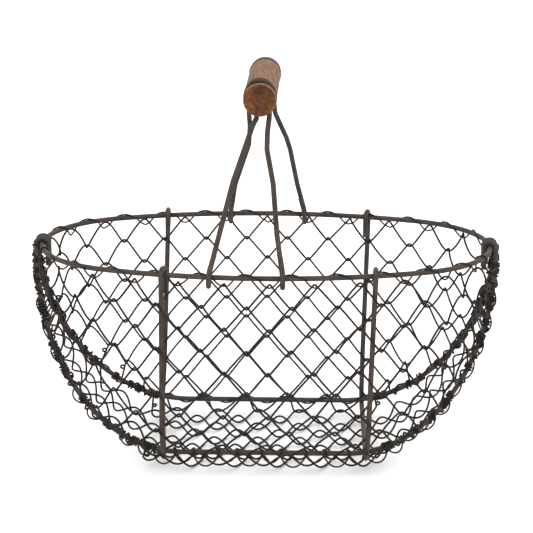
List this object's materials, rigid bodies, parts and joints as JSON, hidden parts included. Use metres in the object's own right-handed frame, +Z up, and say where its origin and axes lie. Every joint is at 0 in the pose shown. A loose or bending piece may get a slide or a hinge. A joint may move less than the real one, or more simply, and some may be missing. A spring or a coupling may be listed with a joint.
{
  "type": "egg collection basket",
  "caption": "Boat-shaped wire mesh basket for gathering eggs, with a bent rod frame and a turned wooden grip held across it by two wire bails.",
  "frame": {"origin": "on the surface that the basket stands on, under the middle of the rim", "axes": "+Z up, +X along the basket's long side, +Y from the front of the basket to its back, along the grip"},
  "size_m": [0.314, 0.1778, 0.2634],
  "materials": {
    "rod": "dark brown patinated iron rod, satin",
    "mesh_wire": "dark patinated iron wire, satin",
    "lacing_wire": "thin dark iron wire, satin",
    "grip_wood": "turned, stained and weathered hardwood, matt"
  },
  "bodies": {
    "basket": {"rim": "rod", "hoop_front": "rod", "hoop_back": "rod", "stay_left": "rod", "stay_right": "rod", "mesh_front_row_1": "mesh_wire", "mesh_front_row_2": "mesh_wire", "mesh_front_row_3": "mesh_wire", "mesh_front_row_4": "mesh_wire", "mesh_front_row_5": "mesh_wire", "mesh_front_row_6": "mesh_wire", "mesh_front_row_7": "mesh_wire", "mesh_front_row_8": "mesh_wire", "mesh_front_row_9": "mesh_wire", "mesh_back_row_1": "mesh_wire", "mesh_back_row_2": "mesh_wire", "mesh_back_row_3": "mesh_wire", "mesh_back_row_4": "mesh_wire", "mesh_back_row_5": "mesh_wire", "mesh_back_row_6": "mesh_wire", "mesh_back_row_7": "mesh_wire", "mesh_back_row_8": "mesh_wire", "mesh_back_row_9": "mesh_wire", "mesh_bottom_row_1": "mesh_wire", "mesh_bottom_row_2": "mesh_wire", "mesh_bottom_row_3": "mesh_wire", "mesh_bottom_row_4": "mesh_wire", "mesh_bottom_row_5": "mesh_wire", "mesh_bottom_row_6": "mesh_wire", "mesh_bottom_row_7": "mesh_wire", "rim_lacing_front": "lacing_wire", "rim_lacing_back": "lacing_wire", "hoop_lacing_front": "lacing_wire", "hoop_lacing_back": "lacing_wire", "end_tie_left": "lacing_wire", "end_tie_right": "lacing_wire"},
    "handle": {"bail_front": "rod", "bail_back": "rod"},
    "grip": {"grip": "grip_wood"}
  },
  "joints": [
    {"name": "handle_lift", "type": "slide", "parent": "basket", "child": "handle", "axis": [0, 0, 1], "range_m": [0, 0.002]},
    {"name": "grip_spin", "type": "hinge", "parent": "handle", "child": "grip", "pos_m": [-0.00265, 0, 0.2499], "axis": [0.0201, 0.9998, 0], "continuous": true}
  ]
}
